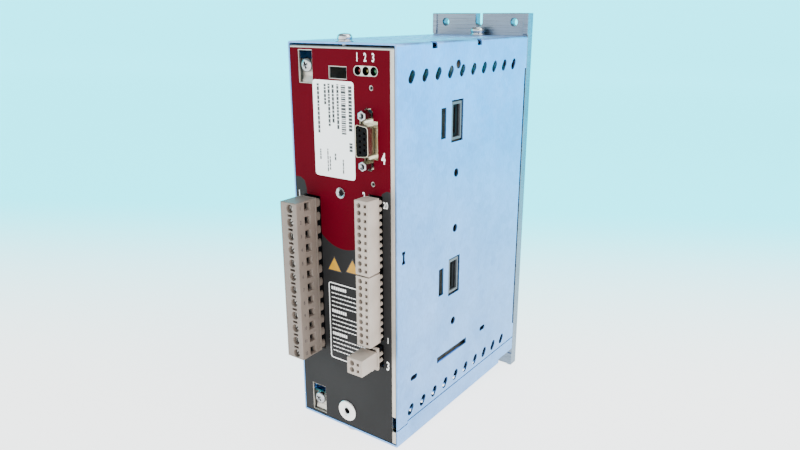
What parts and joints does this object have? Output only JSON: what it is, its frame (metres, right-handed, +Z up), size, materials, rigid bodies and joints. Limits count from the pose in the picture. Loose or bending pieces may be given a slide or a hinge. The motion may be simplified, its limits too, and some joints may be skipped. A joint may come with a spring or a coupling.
{
  "type": "servo drive",
  "caption": "Narrow sheet-steel servo drive on an aluminium cold plate, with pull-off power, signal and relay terminal plugs and a serial socket on its front panel.",
  "frame": {"origin": "centre of the cold plate's rear face, where it meets the cabinet wall", "axes": "+Z up, +X to the right of someone facing the front panel, -Y out of the front panel"},
  "size_m": [0.07, 0.164, 0.241],
  "materials": {
    "galvanised_steel": "matte galvanised sheet",
    "cold_plate_aluminium": "milled",
    "printed_film": "crimson and dark grey print, fine matte",
    "label_paper": "white silk label",
    "zinc_hardware": "bright zinc",
    "chromate_shell": "yellow chromate",
    "warm_grey_plastic": "moulded matte",
    "ivory_plastic": "moulded matte",
    "black_plastic": "moulded matte",
    "grey_plastic": "moulded matte",
    "bush_nickel": "pale plated ring",
    "red_lens": "unlit lens",
    "yellow_lens": "unlit lens",
    "green_lens": "unlit lens",
    "circuit_board": "green solder mask",
    "capacitor_sleeve": "shrink sleeve",
    "copper_winding": "enamelled copper wire",
    "ferrite_core": "sintered ferrite"
  },
  "bodies": {
    "drive": {"hood": "galvanised_steel", "chassis_tray": "galvanised_steel", "front_panel": "galvanised_steel", "upper_fixing_bracket": "galvanised_steel", "lower_fixing_bracket": "galvanised_steel", "rear_bracket": "galvanised_steel", "mounting_plate": "cold_plate_aluminium", "panel_overlay": "printed_film", "rating_label": "label_paper", "top_front_screw": "zinc_hardware", "top_front_washer": "zinc_hardware", "top_rear_screw": "zinc_hardware", "top_rear_washer": "zinc_hardware", "bottom_screw": "zinc_hardware", "upper_panel_screw": "zinc_hardware", "lower_panel_screw": "zinc_hardware", "dsub_jack_upper": "zinc_hardware", "dsub_jack_lower": "zinc_hardware", "dsub_shell": "chromate_shell", "power_header": "warm_grey_plastic", "signal_header_upper": "ivory_plastic", "signal_header_lower": "ivory_plastic", "relay_header": "ivory_plastic", "dsub_insert": "black_plastic", "led_holder": "black_plastic", "bypass_relay": "black_plastic", "power_module": "black_plastic", "option_connector_upper": "grey_plastic", "option_connector_lower": "grey_plastic", "earth_bush": "bush_nickel", "status_led_1": "red_lens", "status_led_2": "yellow_lens", "status_led_3": "green_lens", "control_board": "circuit_board", "power_board": "circuit_board", "dc_link_capacitor_1": "capacitor_sleeve", "dc_link_capacitor_2": "capacitor_sleeve", "filter_choke": "copper_winding", "transformer": "ferrite_core"},
    "power_plug": {"power_plug": "warm_grey_plastic"},
    "signal_plug_upper": {"signal_plug_upper": "ivory_plastic", "signal_screws_upper": "zinc_hardware"},
    "signal_plug_lower": {"signal_plug_lower": "ivory_plastic", "signal_screws_lower": "zinc_hardware"},
    "relay_plug": {"relay_plug": "ivory_plastic"},
    "power_clamp_screw_01": {"power_clamp_screw_01": "zinc_hardware"},
    "power_clamp_screw_02": {"power_clamp_screw_02": "zinc_hardware"},
    "power_clamp_screw_03": {"power_clamp_screw_03": "zinc_hardware"},
    "power_clamp_screw_04": {"power_clamp_screw_04": "zinc_hardware"},
    "power_clamp_screw_05": {"power_clamp_screw_05": "zinc_hardware"},
    "power_clamp_screw_06": {"power_clamp_screw_06": "zinc_hardware"},
    "power_clamp_screw_07": {"power_clamp_screw_07": "zinc_hardware"},
    "power_clamp_screw_08": {"power_clamp_screw_08": "zinc_hardware"},
    "power_clamp_screw_09": {"power_clamp_screw_09": "zinc_hardware"},
    "power_clamp_screw_10": {"power_clamp_screw_10": "zinc_hardware"},
    "power_clamp_screw_11": {"power_clamp_screw_11": "zinc_hardware"},
    "power_clamp_screw_12": {"power_clamp_screw_12": "zinc_hardware"},
    "relay_clamp_screw_1": {"relay_clamp_screw_1": "zinc_hardware"},
    "relay_clamp_screw_2": {"relay_clamp_screw_2": "zinc_hardware"}
  },
  "joints": [
    {"name": "power_plug_pull", "type": "slide", "parent": "drive", "child": "power_plug", "axis": [0, -1, 0], "range_m": [0, 0.016]},
    {"name": "signal_plug_upper_pull", "type": "slide", "parent": "drive", "child": "signal_plug_upper", "axis": [0, -1, 0], "range_m": [0, 0.012]},
    {"name": "signal_plug_lower_pull", "type": "slide", "parent": "drive", "child": "signal_plug_lower", "axis": [0, -1, 0], "range_m": [0, 0.012]},
    {"name": "relay_plug_pull", "type": "slide", "parent": "drive", "child": "relay_plug", "axis": [0, -1, 0], "range_m": [0, 0.014]},
    {"name": "power_clamp_screw_01_turn", "type": "hinge", "parent": "power_plug", "child": "power_clamp_screw_01", "pos_m": [-0.0208, -0.16, 0.0228], "axis": [0, -1, 0], "range_deg": [0, 1710]},
    {"name": "power_clamp_screw_02_turn", "type": "hinge", "parent": "power_plug", "child": "power_clamp_screw_02", "pos_m": [-0.0208, -0.16, 0.01518], "axis": [0, -1, 0], "range_deg": [0, 1710]},
    {"name": "power_clamp_screw_03_turn", "type": "hinge", "parent": "power_plug", "child": "power_clamp_screw_03", "pos_m": [-0.0208, -0.16, 0.00756], "axis": [0, -1, 0], "range_deg": [0, 1710]},
    {"name": "power_clamp_screw_04_turn", "type": "hinge", "parent": "power_plug", "child": "power_clamp_screw_04", "pos_m": [-0.0208, -0.16, -0.00006], "axis": [0, -1, 0], "range_deg": [0, 1710]},
    {"name": "power_clamp_screw_05_turn", "type": "hinge", "parent": "power_plug", "child": "power_clamp_screw_05", "pos_m": [-0.0208, -0.16, -0.00768], "axis": [0, -1, 0], "range_deg": [0, 1710]},
    {"name": "power_clamp_screw_06_turn", "type": "hinge", "parent": "power_plug", "child": "power_clamp_screw_06", "pos_m": [-0.0208, -0.16, -0.0153], "axis": [0, -1, 0], "range_deg": [0, 1710]},
    {"name": "power_clamp_screw_07_turn", "type": "hinge", "parent": "power_plug", "child": "power_clamp_screw_07", "pos_m": [-0.0208, -0.16, -0.02292], "axis": [0, -1, 0], "range_deg": [0, 1710]},
    {"name": "power_clamp_screw_08_turn", "type": "hinge", "parent": "power_plug", "child": "power_clamp_screw_08", "pos_m": [-0.0208, -0.16, -0.03054], "axis": [0, -1, 0], "range_deg": [0, 1710]},
    {"name": "power_clamp_screw_09_turn", "type": "hinge", "parent": "power_plug", "child": "power_clamp_screw_09", "pos_m": [-0.0208, -0.16, -0.03816], "axis": [0, -1, 0], "range_deg": [0, 1710]},
    {"name": "power_clamp_screw_10_turn", "type": "hinge", "parent": "power_plug", "child": "power_clamp_screw_10", "pos_m": [-0.0208, -0.16, -0.04578], "axis": [0, -1, 0], "range_deg": [0, 1710]},
    {"name": "power_clamp_screw_11_turn", "type": "hinge", "parent": "power_plug", "child": "power_clamp_screw_11", "pos_m": [-0.0208, -0.16, -0.0534], "axis": [0, -1, 0], "range_deg": [0, 1710]},
    {"name": "power_clamp_screw_12_turn", "type": "hinge", "parent": "power_plug", "child": "power_clamp_screw_12", "pos_m": [-0.0208, -0.16, -0.06102], "axis": [0, -1, 0], "range_deg": [0, 1710]},
    {"name": "relay_clamp_screw_1_turn", "type": "hinge", "parent": "relay_plug", "child": "relay_clamp_screw_1", "pos_m": [0.0187, -0.1595, -0.0549], "axis": [0, -1, 0], "range_deg": [0, 1350]},
    {"name": "relay_clamp_screw_2_turn", "type": "hinge", "parent": "relay_plug", "child": "relay_clamp_screw_2", "pos_m": [0.0187, -0.1595, -0.05871], "axis": [0, -1, 0], "range_deg": [0, 1350]}
  ]
}
